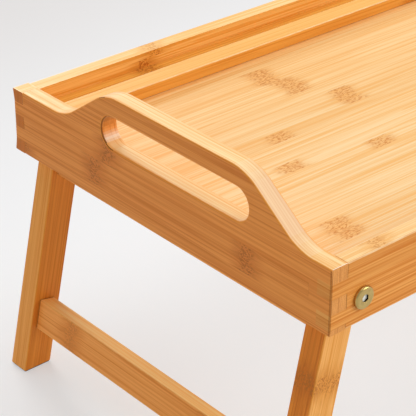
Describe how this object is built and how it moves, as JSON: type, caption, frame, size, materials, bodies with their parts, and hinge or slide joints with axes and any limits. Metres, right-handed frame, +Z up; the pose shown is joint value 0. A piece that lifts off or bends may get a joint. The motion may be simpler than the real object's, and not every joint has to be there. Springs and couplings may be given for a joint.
{
  "type": "bed tray table",
  "caption": "Bamboo bed tray with finger-jointed sides, raised end boards with hand slots, a slot along the back for a screen, and splayed legs that fold flat under it.",
  "frame": {"origin": "on the floor, under the middle of the tray", "axes": "+X along the tray's length to the right as seen from the front, +Y to the back, where the screen slot is, +Z up"},
  "size_m": [0.5992, 0.3352, 0.258],
  "materials": {
    "frame_bamboo": "satin",
    "panel_bamboo": "satin",
    "leg_bamboo": "satin",
    "pivot_hardware": "satin",
    "washers": "matte",
    "screws": "satin",
    "non_slip_pad": "matte"
  },
  "bodies": {
    "tray": {"back_divider": "frame_bamboo", "back_left_barrel_nut": "pivot_hardware", "back_left_pivot_bolt": "pivot_hardware", "back_rail": "frame_bamboo", "back_right_barrel_nut": "pivot_hardware", "back_right_pivot_bolt": "pivot_hardware", "batten_screws": "screws", "front_left_barrel_nut": "pivot_hardware", "front_left_pivot_bolt": "pivot_hardware", "front_rail": "frame_bamboo", "front_right_barrel_nut": "pivot_hardware", "front_right_pivot_bolt": "pivot_hardware", "left_end_board": "frame_bamboo", "nut_washers": "washers", "panel_batten": "frame_bamboo", "rail_washers": "washers", "right_end_board": "frame_bamboo", "tray_panel": "panel_bamboo"},
    "left_leg_frame": {"back_left_foot_pad": "non_slip_pad", "back_left_leg": "leg_bamboo", "front_left_foot_pad": "non_slip_pad", "front_left_leg": "leg_bamboo", "left_lower_stretcher": "leg_bamboo", "left_upper_stretcher": "leg_bamboo"},
    "right_leg_frame": {"back_right_foot_pad": "non_slip_pad", "back_right_leg": "leg_bamboo", "front_right_foot_pad": "non_slip_pad", "front_right_leg": "leg_bamboo", "right_lower_stretcher": "leg_bamboo", "right_upper_stretcher": "leg_bamboo"}
  },
  "joints": [
    {"name": "left_leg_fold", "type": "hinge", "parent": "tray", "child": "left_leg_frame", "pos_m": [-0.24705, 0, 0.192], "axis": [0, -1, 0], "range_deg": [0, 102]},
    {"name": "right_leg_fold", "type": "hinge", "parent": "tray", "child": "right_leg_frame", "pos_m": [0.24705, 0, 0.192], "axis": [0, 1, 0], "range_deg": [0, 102]}
  ]
}
